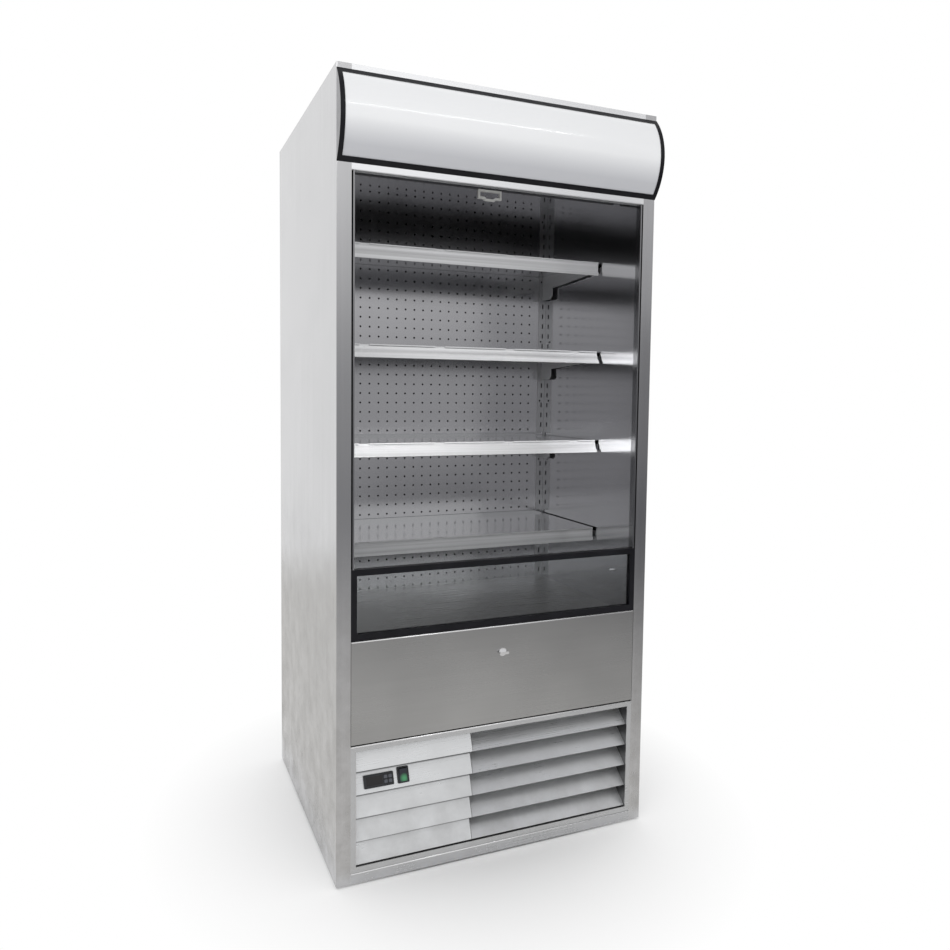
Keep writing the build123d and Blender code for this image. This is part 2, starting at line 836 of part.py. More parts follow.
with BuildPart() as plinth_rail:
    block(-opening_half, opening_half, front, front + skin, floor_gap, plinth_top)
    block(-opening_half, opening_half, front, front + plinth_depth, plinth_top - skin, plinth_top)
save(plinth_rail, "plinth_rail")

with BuildPart() as grille_frame:
    block(-opening_half, opening_half, front, front + grille_depth, grille_bottom, grille_top)
    block(grille_sheet - opening_half, opening_half - grille_sheet, front + grille_sheet,
          front + grille_depth, grille_bottom + grille_sheet, grille_top - grille_sheet,
          mode=Mode.SUBTRACT)
    block(-louvre_inner_half, louvre_inner_half, front, front + grille_sheet,
          grille_bottom + grille_border, grille_top - grille_border, mode=Mode.SUBTRACT)
    for side in (-1, 1):
        block(side * louvre_inner_half, side * (louvre_inner_half + grille_sheet), front,
              front + cheek_depth, grille_bottom + grille_border, grille_top - grille_border)
    # The divider follows the faces of the steep louvres, so it never stands in front of them.
    with BuildSketch(Plane.YZ.offset(louvre_split - grille_sheet)):
        with BuildLine():
            nose = front + louvre_setback
            steps = [(nose, grille_bottom + grille_sheet)]
            for index in range(louvre_count):
                lower = lowest_louvre + index * louvre_pitch
                upper = min(lower + louvre_pitch, grille_top - grille_border)
                steps += [(nose, lower), (nose + (upper - lower) * tan(radians(steep_tilt)), upper)]
            steps += [(nose, grille_top - grille_border), (nose, grille_top - grille_sheet),
                      (front + cheek_depth, grille_top - grille_sheet),
                      (front + cheek_depth, grille_bottom + grille_border),
                      (front + grille_depth, grille_bottom + grille_border),
                      (front + grille_depth, grille_bottom + grille_sheet)]
            Polyline(*steps, close=True)
        make_face()
    extrude(amount=grille_sheet)
save(grille_frame, "grille_frame")


def louvre_plane(index, tilt):
    """Outer face of a louvre: local x along it, local y up its slope from the lower edge."""
    lean = radians(tilt)
    return Plane(origin=(0, front + louvre_setback, lowest_louvre + index * louvre_pitch),
                 x_dir=(1, 0, 0), z_dir=(0, -cos(lean), sin(lean)))


control_plane = louvre_plane(control_louvre, steep_tilt)
louvre_bays = ((-louvre_inner_half, louvre_split - grille_sheet, steep_width, steep_tilt),
               (louvre_split, louvre_inner_half, open_width, open_tilt))

with BuildPart() as grille_louvres:
    for index in range(louvre_count):
        for bay_left, bay_right, width, tilt in louvre_bays:
            with BuildSketch(louvre_plane(index, tilt)):
                with Locations(((bay_left + bay_right) / 2, width / 2)):
                    Rectangle(bay_right - bay_left, width)
            extrude(amount=-louvre_sheet)
    with BuildSketch(control_plane):
        with Locations((controller_x, controller_rise)):
            Rectangle(controller_body_width + cutout_gap, controller_body_height + cutout_gap)
        with Locations((switch_x, switch_rise)):
            Rectangle(switch_body_width + cutout_gap, switch_body_height + cutout_gap)
    extrude(amount=-2 * louvre_sheet, mode=Mode.SUBTRACT)
save(grille_louvres, "grille_louvres")

# ---------------------------------------------------------------- controller

key_places = [(controller_x + key_offset + column * key_pitch_x / 2,
               controller_rise + row * key_pitch_y / 2)
              for row in (1, -1) for column in (-1, 1)]

with BuildPart() as controller_housing:
    with BuildSketch(control_plane):
        with Locations((controller_x, controller_rise)):
            RectangleRounded(controller_width, controller_height, controller_bezel / 2)
    extrude(amount=controller_bezel)
    with BuildSketch(control_plane):
        with Locations((controller_x, controller_rise)):
            Rectangle(controller_body_width, controller_body_height)
    extrude(amount=-controller_body_depth)
    with BuildSketch(control_plane.offset(controller_bezel)):
        with Locations((controller_x + display_offset, controller_rise)):
            Rectangle(display_width, display_height)
    extrude(amount=-display_depth_in, mode=Mode.SUBTRACT)
    with BuildSketch(control_plane.offset(controller_bezel)):
        with Locations(*key_places):
            Rectangle(key_width + 2 * key_gap, key_height + 2 * key_gap)
    extrude(amount=-key_depth - key_well + key_proud, mode=Mode.SUBTRACT)
save(controller_housing, "controller_housing")

with BuildPart() as controller_display:
    with BuildSketch(control_plane.offset(controller_bezel - display_depth_in)):
        with Locations((controller_x + display_offset, controller_rise)):
            Rectangle(display_width, display_height)
    extrude(amount=display_depth_in)
save(controller_display, "controller_display")

for place, key_place in enumerate(key_places, start=1):
    with BuildPart() as controller_key:
        with BuildSketch(control_plane.offset(controller_bezel + key_proud)):
            with Locations(key_place):
                RectangleRounded(key_width, key_height, key_height / 4)
        extrude(amount=-key_depth)
    save(controller_key, f"controller_key_{place}")

# ---------------------------------------------------------------- rocker switch

rocker_axis = control_plane.from_local_coords((switch_x, switch_rise, 0))

with BuildPart() as switch_frame:
    with BuildSketch(control_plane):
        with Locations((switch_x, switch_rise)):
            RectangleRounded(switch_width, switch_height, switch_bezel)
    extrude(amount=switch_bezel)
    with BuildSketch(control_plane):
        with Locations((switch_x, switch_rise)):
            Rectangle(switch_body_width, switch_body_height)
    extrude(amount=-switch_body_depth)
    with BuildSketch(control_plane.offset(switch_bezel)):
        with Locations((switch_x, switch_rise)):
            Rectangle(rocker_width + 2 * rocker_gap, rocker_height + 2 * rocker_gap)
    extrude(amount=-rocker_well, mode=Mode.SUBTRACT)
    cross_rod(switch_x - rocker_pin_half - fit, switch_x + rocker_pin_half + fit,
              rocker_axis.Y, rocker_axis.Z, rocker_pin_radius + shaft_fit, mode=Mode.SUBTRACT)
save(switch_frame, "switch_frame")

with BuildPart() as switch_rocker:
    lean = radians(steep_tilt - rocker_lean)
    rocker_side = Plane(origin=rocker_axis, x_dir=(0, -cos(lean), sin(lean)), z_dir=(1, 0, 0))
    with BuildSketch(rocker_side):
        with BuildLine():
            tip = rocker_height / 2
            crown = switch_bezel + rocker_proud
            Polyline((crown, -tip), (switch_bezel, 0), (crown, tip),
                     (crown - rocker_depth, rocker_foot), (crown - rocker_depth, -rocker_foot),
                     close=True)
        make_face()
    extrude(amount=rocker_width / 2, both=True)
    cross_rod(switch_x - rocker_pin_half, switch_x + rocker_pin_half,
              rocker_axis.Y, rocker_axis.Z, rocker_pin_radius)
save(switch_rocker, "switch_rocker")

# ---------------------------------------------------------------- base frame and feet

foot_places = [(side * foot_x, front + setback)
               for side in (-1, 1) for setback in (foot_front, foot_rear)]

with BuildPart() as base_frame:
    frame_half = half_width - skin
    block(-frame_half, frame_half, front + base_front, back - skin, floor_gap, base_top)
    block(base_sheet - frame_half, frame_half - base_sheet, front + base_front + base_sheet,
          back - skin - base_sheet, floor_gap, base_top - base_sheet, mode=Mode.SUBTRACT)
    with BuildSketch(Plane.XY.offset(base_top)):
        with Locations(*foot_places):
            RegularPolygon(foot_nut_size / 2, 6)
    extrude(amount=foot_nut_height)
    for foot_place in foot_places:
        rod(*foot_place, foot_stud_radius, floor_gap, base_top + foot_nut_height, mode=Mode.SUBTRACT)
save(base_frame, "base_frame")

with BuildPart() as levelling_feet:
    for foot_place in foot_places:
        rod(*foot_place, foot_pad_radius, 0, foot_pad_height)
        rod(*foot_place, foot_stud_radius, foot_pad_height, foot_stud_top)
save(levelling_feet, "levelling_feet")

# ---------------------------------------------------------------- fans and motors


def fan(x, y, z, radius, blade_width):
    """A fan rotor on an axis along Y, in the piece being built; y is its middle plane."""
    depth_rod(x, z, fan_hub_radius, y - hub_seat, y + hub_seat)
    reach = sqrt(radius ** 2 - (blade_width / 2) ** 2)
    root = fan_hub_radius / 2
    for index in range(fan_blade_count):
        turn = radians(index * 360 / fan_blade_count)
        outward = Vector(cos(turn), 0, sin(turn))
        with BuildSketch(Plane(origin=Vector(x, y, z) + outward * root,
                               x_dir=(0, 1, 0), z_dir=outward)) as blade:
            Rectangle(fan_blade_sheet, blade_width, rotation=fan_blade_pitch)
        extrude(blade.sketch, amount=reach - root)
    depth_rod(x, z, shaft_radius + shaft_fit, y - hub_seat, y + hub_seat, mode=Mode.SUBTRACT)


def motor(x, y, z):
    """A fan motor and its shaft, behind a fan whose middle plane is y."""
    seat = y + hub_seat + motor_gap
    depth_rod(x, z, motor_radius, seat, seat + motor_depth)
    depth_rod(x, z, shaft_radius, y - hub_seat, seat)


def motor_arms(x, y, z, reach, plate_y):
    """Two arms that carry a motor from the plate in front of it, in the piece being built."""
    seat = y + hub_seat + motor_gap + motor_depth
    for side in (-1, 1):
        block(x + side * (reach - motor_arm_width), x + side * reach, plate_y,
              seat + motor_arm_sheet, z - motor_arm_width / 2, z + motor_arm_width / 2)
    block(x - reach, x + reach, seat, seat + motor_arm_sheet,
          z - motor_arm_width / 2, z + motor_arm_width / 2)


condenser_fan_x = (condenser_left + condenser_right) / 2
shroud_front = front + condenser_setback + condenser_depth
condenser_fan_y = shroud_front + shroud_depth / 2
evaporator_plate_front = front + evaporator_plate_setback
evaporator_fan_y = evaporator_plate_front + hub_seat

with BuildPart() as condenser_fan:
    fan(condenser_fan_x, condenser_fan_y, condenser_fan_height, condenser_fan_radius, fan_blade_width)
save(condenser_fan, "condenser_fan")

for side, hand in HANDS:
    with BuildPart() as evaporator_fan:
        fan(side * evaporator_fan_x, evaporator_fan_y, evaporator_fan_height,
            evaporator_fan_radius, evaporator_blade_width)
    save(evaporator_fan, f"evaporator_fan_{hand}")

with BuildPart() as fan_motors:
    motor(condenser_fan_x, condenser_fan_y, condenser_fan_height)
    for side in (-1, 1):
        motor(side * evaporator_fan_x, evaporator_fan_y, evaporator_fan_height)
save(fan_motors, "fan_motors")

with BuildPart() as condenser_shroud:
    block(condenser_left, condenser_right, shroud_front, shroud_front + shroud_sheet,
          base_top, condenser_top)
    ring = condenser_fan_radius + fan_tip_gap
    depth_rod(condenser_fan_x, condenser_fan_height, ring + shroud_sheet, shroud_front,
              shroud_front + shroud_depth)
    depth_rod(condenser_fan_x, condenser_fan_height, ring, shroud_front,
              shroud_front + shroud_depth, mode=Mode.SUBTRACT)
    motor_arms(condenser_fan_x, condenser_fan_y, condenser_fan_height,
               ring + motor_arm_width, shroud_front)
    depth_rod(condenser_fan_x, condenser_fan_height, ring, shroud_front,
              shroud_front + shroud_depth, mode=Mode.SUBTRACT)
save(condenser_shroud, "condenser_shroud")

with BuildPart() as evaporator_fan_plate:
    block(fit - wall_inner, wall_inner - fit, evaporator_plate_front,
          evaporator_plate_front + shroud_sheet, tank_floor, riser_top)
    for side in (-1, 1):
        depth_rod(side * evaporator_fan_x, evaporator_fan_height,
                  evaporator_fan_radius + fan_tip_gap, evaporator_plate_front,
                  evaporator_plate_front + shroud_sheet, mode=Mode.SUBTRACT)
        motor_arms(side * evaporator_fan_x, evaporator_fan_y, evaporator_fan_height,
                   evaporator_fan_radius + fan_tip_gap + motor_arm_width, evaporator_plate_front)
save(evaporator_fan_plate, "evaporator_fan_plate")

# ---------------------------------------------------------------- finned coils


def finned_coil(x0, x1, y0, y1, z0, z1, hairpins, foot_z):
    """A finned heat exchanger between two end plates, its tubes joined outside them by bends."""
    middle_y = (y0 + y1) / 2
    rise = (z1 - z0) / hairpins
    for index in range(hairpins):
        for drop in (-hairpin_radius, hairpin_radius):
            cross_rod(x0, x1, middle_y, z0 + (index + 0.5) * rise + drop, hairpin_wire)
    fins = int((x1 - x0) / fin_pitch) - 1
    with Locations(((x0 + x1) / 2, middle_y, (z0 + z1) / 2)):
        with GridLocations(fin_pitch, y1 - y0, fins, 1):
            Box(fin_sheet, y1 - y0, z1 - z0)
    for plate_x in (x0, x1 - end_plate):
        block(plate_x, plate_x + end_plate, y0, y1, foot_z, z1)
    for end_x, turn in ((x0, 90), (x1, -90)):
        for index in range(hairpins):
            with Locations((end_x, middle_y, z0 + (index + 0.5) * rise)):
                Torus(hairpin_radius, hairpin_wire, major_angle=180, rotation=(90, 0, turn), align=None)


with BuildPart() as condenser_coil:
    finned_coil(condenser_left, condenser_right, front + condenser_setback, shroud_front,
                condenser_bottom, condenser_top, condenser_hairpins, base_top)
save(condenser_coil, "condenser_coil")

with BuildPart() as evaporator_coil:
    finned_coil(-coil_half_width, coil_half_width, front + coil_front, front + coil_rear,
                coil_bottom, coil_top, coil_hairpins, tank_floor)
save(evaporator_coil, "evaporator_coil")

# ---------------------------------------------------------------- compressor and bay fittings

compressor_y = front + compressor_setback
plate_bottom = base_top + mount_height
shell_bottom = plate_bottom + compressor_plate_sheet

with BuildPart() as compressor:
    with Locations((compressor_x, compressor_y, plate_bottom)):
        Box(compressor_plate_width, compressor_plate_depth, compressor_plate_sheet,
            align=(Align.CENTER, Align.CENTER, Align.MIN))
    rod(compressor_x, compressor_y, compressor_radius, shell_bottom, shell_bottom + compressor_height)
    fillet(compressor.edges().filter_by(GeomType.CIRCLE).sort_by(Axis.Z)[-1], radius=compressor_dome)
    with Locations((compressor_x, compressor_y, base_top)):
        with GridLocations(mount_pitch_x, mount_pitch_y, 2, 2):
            Cylinder(mount_radius, mount_height, align=(Align.CENTER, Align.CENTER, Align.MIN))
save(compressor, "compressor")

with BuildPart() as condensate_tray:
    block(tray_left, tray_right, front + tray_front, front + tray_rear,
          base_top, base_top + tray_height)
    block(tray_left + tray_sheet, tray_right - tray_sheet, front + tray_front + tray_sheet,
          front + tray_rear - tray_sheet, base_top + tray_sheet, base_top + tray_height,
          mode=Mode.SUBTRACT)
save(condensate_tray, "condensate_tray")

# ---------------------------------------------------------------- refrigerant lines


def line(*points):
    """A refrigerant tube through chosen corners, with round bends, in the piece being built."""
    with BuildLine() as route:
        FilletPolyline(*points, radius=line_bend)
    with BuildSketch(Plane(origin=route.line @ 0, z_dir=route.line % 0)) as bore:
        Circle(line_radius)
    sweep(bore.sketch, path=route.line)


suction_z = shell_bottom + compressor_height - shell_drop
liquid_y = front + liquid_pass_setback
condensed_y = front + condensed_setback

with BuildPart() as refrigerant_lines:
    line((compressor_x + compressor_radius, compressor_y, suction_z),
         (suction_x, compressor_y, suction_z),
         (suction_x, compressor_y, suction_end_z),
         (suction_x, front + suction_end_setback, suction_end_z),
         (coil_half_width, front + suction_end_setback, suction_end_z))
    line((compressor_x, compressor_y - compressor_radius, discharge_z),
         (compressor_x, front + discharge_turn_setback, discharge_z),
         (line_gutter, front + discharge_turn_setback, discharge_z),
         (line_gutter, front + discharge_end_setback, discharge_z),
         (condenser_right, front + discharge_end_setback, discharge_z))
    line((condenser_right, condensed_y, condensed_z),
         (line_gutter, condensed_y, condensed_z),
         (line_gutter, liquid_y, condensed_z),
         (liquid_x, liquid_y, condensed_z),
         (liquid_x, liquid_y, liquid_end_z),
         (liquid_x, front + coil_rear, liquid_end_z))
    depth_rod(line_gutter, condensed_z, drier_radius, front + drier_front, front + drier_rear)
save(refrigerant_lines, "refrigerant_lines")
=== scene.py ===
import json
import math
import bmesh
import bpy
from mathutils import Matrix, Vector


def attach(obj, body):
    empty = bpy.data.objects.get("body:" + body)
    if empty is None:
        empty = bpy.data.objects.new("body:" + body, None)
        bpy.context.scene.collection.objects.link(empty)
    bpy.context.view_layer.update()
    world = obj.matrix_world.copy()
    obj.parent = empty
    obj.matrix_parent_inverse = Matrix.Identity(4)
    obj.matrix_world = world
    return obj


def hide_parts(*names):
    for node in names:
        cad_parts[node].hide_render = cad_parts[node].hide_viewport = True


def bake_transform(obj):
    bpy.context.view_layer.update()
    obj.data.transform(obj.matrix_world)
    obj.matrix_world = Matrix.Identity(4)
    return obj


# Looks of an open multideck display fridge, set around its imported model.
# Metres, +Z up, the open front faces -Y, the floor is at z = 0.

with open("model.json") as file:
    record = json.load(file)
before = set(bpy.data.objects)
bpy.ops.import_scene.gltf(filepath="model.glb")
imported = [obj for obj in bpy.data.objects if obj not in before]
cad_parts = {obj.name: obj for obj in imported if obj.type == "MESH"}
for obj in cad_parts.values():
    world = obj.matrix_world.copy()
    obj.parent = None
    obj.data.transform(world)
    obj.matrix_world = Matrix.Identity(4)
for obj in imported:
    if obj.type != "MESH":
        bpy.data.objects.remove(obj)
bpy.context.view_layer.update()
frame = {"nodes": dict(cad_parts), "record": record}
cad = frame["nodes"]

# ---------------------------------------------------------------- camera

PHOTO_CAMERA_PLACE = (-0.9025, -2.1785, 1.2318)
PHOTO_CAMERA_TURN = (86.403, -0.558, -22.247)
PHOTO_FOCAL_MM = 29.53
PHOTO_SHIFT = (0.0259, -0.0340)

camera_data = bpy.data.cameras.new("photo_camera")
camera_data.sensor_width = 36
camera_data.lens = PHOTO_FOCAL_MM
camera_data.shift_x, camera_data.shift_y = PHOTO_SHIFT
camera_data.clip_start = 0.05
camera = bpy.data.objects.new("photo_camera", camera_data)
camera.location = PHOTO_CAMERA_PLACE
camera.rotation_euler = [math.radians(angle) for angle in PHOTO_CAMERA_TURN]
bpy.context.scene.collection.objects.link(camera)
bpy.context.scene.camera = camera
bpy.context.scene.view_settings.view_transform = "Standard"

# ---------------------------------------------------------------- shader helpers


def node(tree, kind, inputs=None, **settings):
    """One shader node; each input is a plain value or another node's output."""
    made = tree.nodes.new(kind)
    for name, value in settings.items():
        setattr(made, name, value)
    for name, value in (inputs or {}).items():
        if isinstance(value, bpy.types.NodeSocket):
            tree.links.new(value, made.inputs[name])
        else:
            made.inputs[name].default_value = value
    return made


def effect(name, inputs, outputs):
    """An empty node group: inputs map a name to (socket type, default), outputs to a socket type."""
    tree = bpy.data.node_groups.new(name, "ShaderNodeTree")
    for label, (kind, default) in inputs.items():
        socket = tree.interface.new_socket(label, in_out="INPUT", socket_type=kind)
        socket.default_value = default
    for label, kind in outputs.items():
        tree.interface.new_socket(label, in_out="OUTPUT", socket_type=kind)
    return tree, tree.nodes.new("NodeGroupInput").outputs, tree.nodes.new("NodeGroupOutput").inputs


def place(tree, group, inputs):
    """A node group placed in a material, with its own values."""
    made = node(tree, "ShaderNodeGroup", node_tree=group)
    for name, value in inputs.items():
        if isinstance(value, bpy.types.NodeSocket):
            tree.links.new(value, made.inputs[name])
        else:
            made.inputs[name].default_value = value
    return made.outputs


def math_node(tree, operation, a, b=0.0):
    """A Math node's result, clamped to 0..1."""
    made = node(tree, "ShaderNodeMath", operation=operation, use_clamp=True)
    for socket, value in zip(made.inputs, (a, b)):
        if isinstance(value, bpy.types.NodeSocket):
            tree.links.new(value, socket)
        else:
            socket.default_value = value
    return made.outputs[0]


def stretched(tree, vector, scale):
    """A vector multiplied along each axis."""
    made = node(tree, "ShaderNodeVectorMath", operation="MULTIPLY")
    tree.links.new(vector, made.inputs[0])
    if isinstance(scale, bpy.types.NodeSocket):
        tree.links.new(scale, made.inputs[1])
    else:
        made.inputs[1].default_value = scale
    return made.outputs[0]


def noise(tree, vector, scale, detail=3.0, roughness=0.5, distortion=0.0):
    return node(tree, "ShaderNodeTexNoise", {
        "Vector": vector, "Scale": scale, "Detail": detail, "Roughness": roughness,
        "Distortion": distortion}).outputs["Fac"]


def spread(tree, value, low, high, new_low=0.0, new_high=1.0):
    """A value's range low..high carried to new_low..new_high, clamped."""
    return node(tree, "ShaderNodeMapRange", {
        "Value": value, "From Min": low, "From Max": high, "To Min": new_low, "To Max": new_high,
    }).outputs["Result"]


def blend_colours(tree, factor, first, second, mode="MIX"):
    made = node(tree, "ShaderNodeMix", data_type="RGBA", blend_type=mode)
    for index, value in ((0, factor), (6, first), (7, second)):
        socket = made.inputs[index]
        if isinstance(value, bpy.types.NodeSocket):
            tree.links.new(value, socket)
        else:
            socket.default_value = value
    return made.outputs[2]


def bump(tree, height, distance, strength=1.0, normal=None):
    inputs = {"Height": height, "Distance": distance, "Strength": strength}
    if normal is not None:
        inputs["Normal"] = normal
    return node(tree, "ShaderNodeBump", inputs).outputs["Normal"]


# ---------------------------------------------------------------- shared surface effects


def make_brushed_grain():
    """Long fine scratches of a brushed sheet. Grain is how often they come along each axis."""
    tree, given, result = effect("Brushed grain", {
        "Vector": ("NodeSocketVector", (0, 0, 0)),
        "Grain": ("NodeSocketVector", (900, 900, 6)),
        "Depth": ("NodeSocketFloat", 0.000001),
    }, {"Fine": "NodeSocketFloat", "Streaks": "NodeSocketFloat", "Normal": "NodeSocketVector"})
    lined = stretched(tree, given["Vector"], given["Grain"])
    fine = noise(tree, lined, 1.0, 2.0, 0.7)
    broad = noise(tree, stretched(tree, lined, (0.13, 0.13, 0.13)), 1.0, 3.0, 0.6)
    tree.links.new(fine, result["Fine"])
    tree.links.new(spread(tree, broad, 0.3, 0.7), result["Streaks"])
    tree.links.new(bump(tree, fine, given["Depth"]), result["Normal"])
    return tree


def make_handling_marks():
    """Cloudy wipe marks and finger smudges on a polished sheet."""
    tree, given, result = effect("Handling marks", {
        "Vector": ("NodeSocketVector", (0, 0, 0)),
        "Size": ("NodeSocketFloat", 3.0),
    }, {"Clouds": "NodeSocketFloat", "Smears": "NodeSocketFloat"})
    clouds = noise(tree, given["Vector"], given["Size"], 3.0, 0.5)
    smears = noise(tree, stretched(tree, given["Vector"], (1.0, 1.0, 2.0)), given["Size"], 4.0, 0.6)
    tree.links.new(spread(tree, clouds, 0.3, 0.7), result["Clouds"])
    tree.links.new(spread(tree, smears, 0.45, 0.75), result["Smears"])
    return tree


def make_floor_dust_and_shade():
    """Dust and splash marks that thin out with height over the floor; on the cabinet's outer sheet and
    louvres the same darkening is painted shade.
    """
    tree, given, result = effect("Floor dust and shade", {
        "Vector": ("NodeSocketVector", (0, 0, 0)),
        "Reach": ("NodeSocketFloat", 0.25),
    }, {"Dust and shade": "NodeSocketFloat"})
    height = node(tree, "ShaderNodeSeparateXYZ", {"Vector": given["Vector"]}).outputs["Z"]
    low = node(tree, "ShaderNodeMapRange", {"Value": height, "From Min": 0.0, "From Max": given["Reach"],
                                            "To Min": 1.0, "To Max": 0.0}).outputs["Result"]
    specks = spread(tree, noise(tree, given["Vector"], 14.0, 5.0, 0.6), 0.35, 0.75)
    tree.links.new(math_node(tree, "MULTIPLY", low, specks), result["Dust and shade"])
    return tree


def make_moulded_grain():
    """The fine pebbled skin of a moulded or powder-coated piece."""
    tree, given, result = effect("Moulded grain", {
        "Vector": ("NodeSocketVector", (0, 0, 0)),
        "Pebbles": ("NodeSocketFloat", 900.0),
        "Depth": ("NodeSocketFloat", 0.00004),
    }, {"Tone": "NodeSocketFloat", "Normal": "NodeSocketVector"})
    pebbles = noise(tree, given["Vector"], given["Pebbles"], 3.0, 0.6)
    tone = noise(tree, given["Vector"], 14.0, 4.0, 0.6)
    tree.links.new(spread(tree, tone, 0.35, 0.65), result["Tone"])
    tree.links.new(bump(tree, pebbles, given["Depth"]), result["Normal"])
    return tree


def make_grille_shade():
    """Painted darkness on the grille's inner cheeks and on the strip under each louvre's lip."""
    tree, given, result = effect("Grille shade", {
        "Vector": ("NodeSocketVector", (0, 0, 0)),
        "Lowest lip": ("NodeSocketFloat", 0.0485),
        "Pitch": ("NodeSocketFloat", 0.060),
        "Inner from": ("NodeSocketFloat", -0.3535),
    }, {"Cheeks": "NodeSocketFloat", "Under lips": "NodeSocketFloat"})
    axes = node(tree, "ShaderNodeSeparateXYZ", {"Vector": given["Vector"]}).outputs
    inner = node(tree, "ShaderNodeMath", {0: axes["Y"], 1: given["Inner from"]},
                 operation="GREATER_THAN")
    tree.links.new(inner.outputs[0], result["Cheeks"])
    above = node(tree, "ShaderNodeMath", {0: axes["Z"], 1: given["Lowest lip"]}, operation="SUBTRACT")
    steps = node(tree, "ShaderNodeMath", {0: above.outputs[0], 1: given["Pitch"]}, operation="DIVIDE")
    rise = node(tree, "ShaderNodeMath", {0: steps.outputs[0]}, operation="FRACT")
    tree.links.new(spread(tree, rise.outputs[0], 0.745, 0.80), result["Under lips"])
    return tree


BRUSHED_GRAIN = make_brushed_grain()
HANDLING_MARKS = make_handling_marks()
FLOOR_DUST_AND_SHADE = make_floor_dust_and_shade()
MOULDED_GRAIN = make_moulded_grain()
GRILLE_SHADE = make_grille_shade()

UPRIGHT_GRAIN = (700, 700, 5)
CROSSWISE_GRAIN = (5, 700, 700)
DEEP_GRAIN = (700, 5, 700)


def new_material(name):
    """A material with its shader, and the object coordinates that its effects start from."""
    material = bpy.data.materials.new(name)
    material.use_nodes = True
    tree = material.node_tree
    shader = tree.nodes["Principled BSDF"]
    where = tree.nodes.new("ShaderNodeTexCoord").outputs["Object"]
    return material, tree, shader, where


def steel(name, colour, roughness, grain, smoky=0.05, anisotropic=0.4, dust_and_shade=0.0, reach=0.3, streaky=0.12,
          cloudy=0.10, size=1.3, shaded=None, metallic=1.0):
    """Stainless or aluminium sheet: brushed grain, wipe marks, and darker towards the bottom where asked.

    shaded names the output of the grille's painted shade that darkens this piece. The darkening towards
    the bottom and a metallic under 1 are tuned to the photo's tones; neither dirt nor wear can be told
    from the photo.
    """
    material, tree, shader, where = new_material(name)
    lines = place(tree, BRUSHED_GRAIN, {"Vector": where, "Grain": grain})
    marks = place(tree, HANDLING_MARKS, {"Vector": where, "Size": size})
    mixed = math_node(tree, "ADD", math_node(tree, "MULTIPLY", lines["Streaks"], streaky),
                      math_node(tree, "MULTIPLY", marks["Clouds"], cloudy))
    tone = blend_colours(tree, mixed, (*colour, 1), (*[0.5 * part for part in colour], 1))
    rough = math_node(tree, "MULTIPLY", marks["Smears"], smoky)
    fine = spread(tree, lines["Fine"], 0.3, 0.7, roughness * 0.93, roughness * 1.07)
    rough = math_node(tree, "ADD", rough, fine)
    # Darker towards the bottom; on the outer sheet and the louvres this is painted shade.
    if dust_and_shade:
        dust_and_shade_mask = place(tree, FLOOR_DUST_AND_SHADE, {"Vector": where, "Reach": reach})["Dust and shade"]
        dust_and_shade_mask = math_node(tree, "MULTIPLY", dust_and_shade_mask, dust_and_shade)
        tone = blend_colours(tree, dust_and_shade_mask, tone, (0.30, 0.295, 0.285, 1))
        rough = math_node(tree, "ADD", rough, math_node(tree, "MULTIPLY", dust_and_shade_mask, 0.2))
    if shaded:
        # Painted shade: near black on the grille's inner cheeks and in the strip under each louvre's lip.
        shade = place(tree, GRILLE_SHADE, {"Vector": where})[shaded]
        tone = blend_colours(tree, math_node(tree, "MULTIPLY", shade, 0.85), tone, (0.02, 0.02, 0.021, 1))
    tree.links.new(tone, shader.inputs["Base Color"])
    tree.links.new(rough, shader.inputs["Roughness"])
    tree.links.new(lines["Normal"], shader.inputs["Normal"])
    shader.inputs["Metallic"].default_value = metallic
    shader.inputs["Anisotropic"].default_value = anisotropic
    return material


def moulded(name, colour, shade, roughness, pebbles=900.0, depth=0.00002, coat=0.0, dust_and_shade=0.0, specular=0.5):
    """Moulded plastic, rubber or coated metal."""
    material, tree, shader, where = new_material(name)
    skin = place(tree, MOULDED_GRAIN, {"Vector": where, "Pebbles": pebbles, "Depth": depth})
    marks = place(tree, HANDLING_MARKS, {"Vector": where, "Size": 9.0})
    tone = blend_colours(tree, skin["Tone"], (*colour, 1), (*shade, 1))
    if dust_and_shade:
        dust_and_shade_mask = place(tree, FLOOR_DUST_AND_SHADE, {"Vector": where, "Reach": 0.5})["Dust and shade"]
        settled = math_node(tree, "MULTIPLY", dust_and_shade_mask, dust_and_shade)
        tone = blend_colours(tree, settled, tone, (0.35, 0.34, 0.32, 1))
    rough = spread(tree, marks["Smears"], 0.0, 1.0, roughness, roughness + 0.12)
    tree.links.new(tone, shader.inputs["Base Color"])
    tree.links.new(rough, shader.inputs["Roughness"])
    tree.links.new(skin["Normal"], shader.inputs["Normal"])
    shader.inputs["Specular IOR Level"].default_value = specular
    shader.inputs["Coat Weight"].default_value = coat
    shader.inputs["Coat Roughness"].default_value = 0.06
    return material


def galvanised(name):
    """Zinc-coated sheet with its spangle."""
    material, tree, shader, where = new_material(name)
    spangle = node(tree, "ShaderNodeTexVoronoi", {"Vector": where, "Scale": 90.0, "Randomness": 1.0})
    cells = node(tree, "ShaderNodeSeparateColor", {"Color": spangle.outputs["Color"]}).outputs["Red"]
    marks = place(tree, HANDLING_MARKS, {"Vector": where, "Size": 2.0})
    tone = blend_colours(tree, cells, (0.50, 0.52, 0.53, 1), (0.62, 0.63, 0.64, 1))
    worn = math_node(tree, "MULTIPLY", marks["Clouds"], 0.4)
    tone = blend_colours(tree, worn, tone, (0.44, 0.45, 0.46, 1))
    tree.links.new(tone, shader.inputs["Base Color"])
    tree.links.new(spread(tree, cells, 0.0, 1.0, 0.34, 0.5), shader.inputs["Roughness"])
    tree.links.new(bump(tree, cells, 0.00002), shader.inputs["Normal"])
    shader.inputs["Metallic"].default_value = 0.9
    return material


